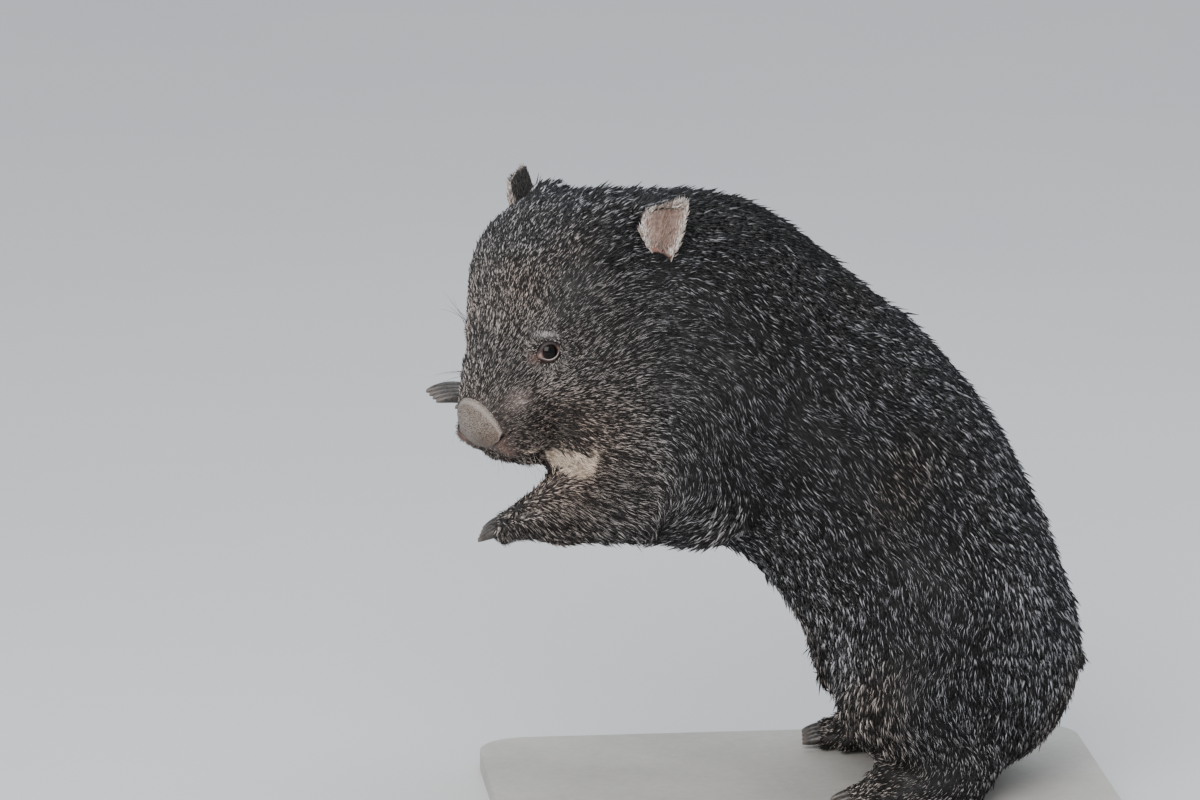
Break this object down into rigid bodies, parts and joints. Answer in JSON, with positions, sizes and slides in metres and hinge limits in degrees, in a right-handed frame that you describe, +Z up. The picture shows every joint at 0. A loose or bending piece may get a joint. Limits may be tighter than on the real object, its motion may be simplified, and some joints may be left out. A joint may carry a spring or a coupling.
{
  "type": "common wombat",
  "caption": "Life-size still wombat that stands reared on its hind feet, forefeet raised and head turned down to its left, on a flat base.",
  "frame": {"origin": "middle of the base's underside, under the middle of the whole part's box", "axes": "+Z up, the wombat faces -Y, and its left side is +X"},
  "size_m": [0.3, 0.5436, 0.514],
  "materials": {
    "coat": "dense dark charcoal fur with fine light tips",
    "face_coat": "short salt-and-pepper fur",
    "nose": "bare stippled grey skin",
    "ear": "thin skin, hairy at the back and rim",
    "lid": "bare dark skin",
    "eye": "wet dark brown",
    "claw": "blunt dark horn",
    "plate": "smooth satin board"
  },
  "bodies": {
    "root": {"belly": "coat", "chest": "coat", "claw_fore_left_1": "claw", "claw_fore_left_2": "claw", "claw_fore_left_3": "claw", "claw_fore_left_4": "claw", "claw_fore_left_5": "claw", "claw_fore_right_1": "claw", "claw_fore_right_2": "claw", "claw_fore_right_3": "claw", "claw_fore_right_4": "claw", "claw_fore_right_5": "claw", "claw_hind_left_1": "claw", "claw_hind_left_2": "claw", "claw_hind_left_3": "claw", "claw_hind_left_4": "claw", "claw_hind_right_2": "claw", "claw_hind_right_3": "claw", "claw_hind_right_4": "claw", "claw_hind_right_5": "claw", "ear_left": "ear", "ear_right": "ear", "eye_left": "eye", "eye_right": "eye", "eyelids_left": "lid", "eyelids_right": "lid", "forearm_left": "coat", "forearm_right": "coat", "forepaw_left": "coat", "forepaw_right": "coat", "head": "face_coat", "hind_foot_left": "coat", "hind_foot_right": "coat", "jaw": "face_coat", "neck": "coat", "nose_pad": "nose", "rump": "coat", "shank_left": "coat", "shank_right": "coat", "stand_base": "plate", "tail": "coat", "thigh_left": "coat", "thigh_right": "coat", "upper_arm_left": "coat", "upper_arm_right": "coat"}
  },
  "joints": []
}
